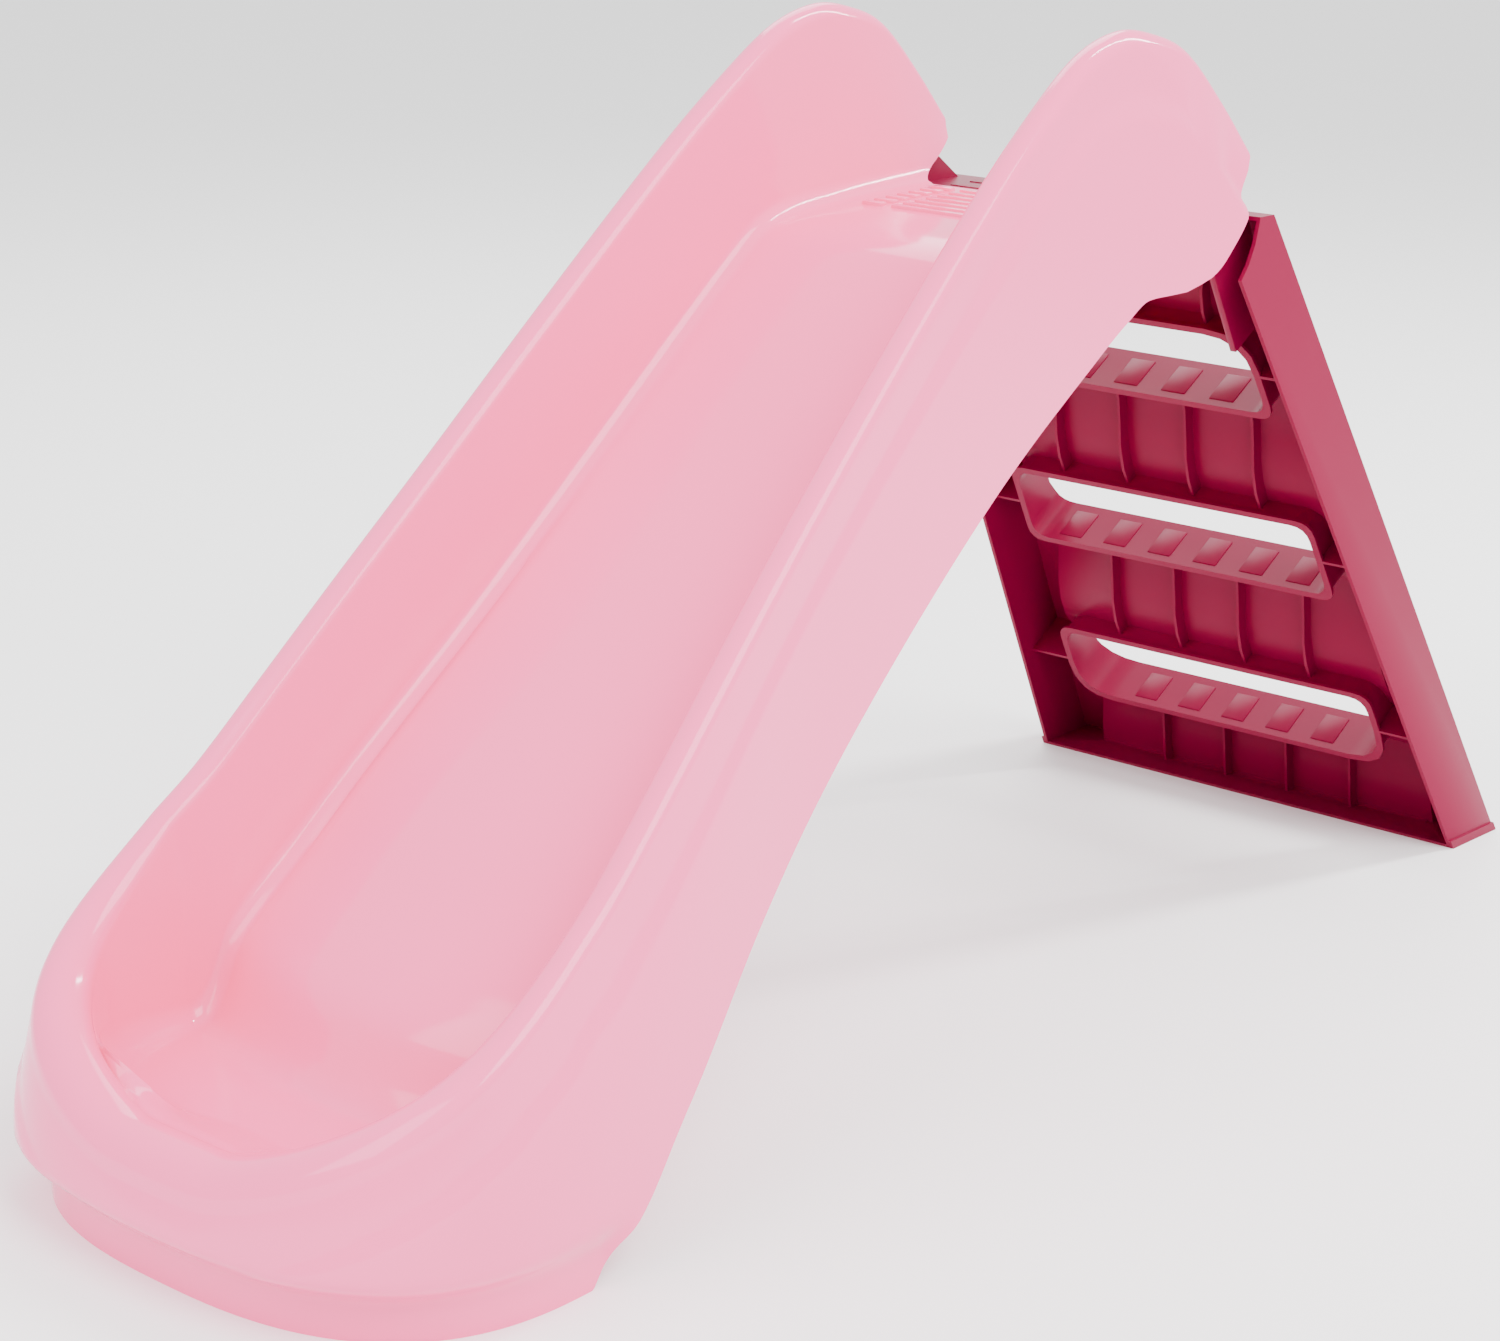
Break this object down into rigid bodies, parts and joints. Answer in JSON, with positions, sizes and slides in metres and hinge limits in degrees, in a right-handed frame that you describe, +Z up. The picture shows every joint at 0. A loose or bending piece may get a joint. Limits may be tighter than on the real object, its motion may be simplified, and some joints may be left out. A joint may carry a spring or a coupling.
{
  "type": "toddler slide",
  "caption": "Fold-up toddler slide: a one-piece moulded chute with high rounded side rims and a rounded exit, hinged to a moulded step ladder with slot treads.",
  "frame": {"origin": "on the ground, below the centre of the slide's bounding box", "axes": "+X forward to the exit, +Y the slide's left, +Z up"},
  "size_m": [1.245, 0.411, 0.6761],
  "materials": {
    "pink_plastic": "smooth gloss",
    "raspberry_plastic": "smooth gloss",
    "steel": "plain"
  },
  "bodies": {
    "chute": {"chute": "pink_plastic", "hinge_pin_left": "steel", "hinge_pin_right": "steel"},
    "ladder": {"ladder": "raspberry_plastic"}
  },
  "joints": [
    {"name": "ladder_fold", "type": "hinge", "parent": "chute", "child": "ladder", "pos_m": [-0.2075, 0, 0.554], "axis": [0, -1, 0], "range_deg": [0, 82]}
  ]
}
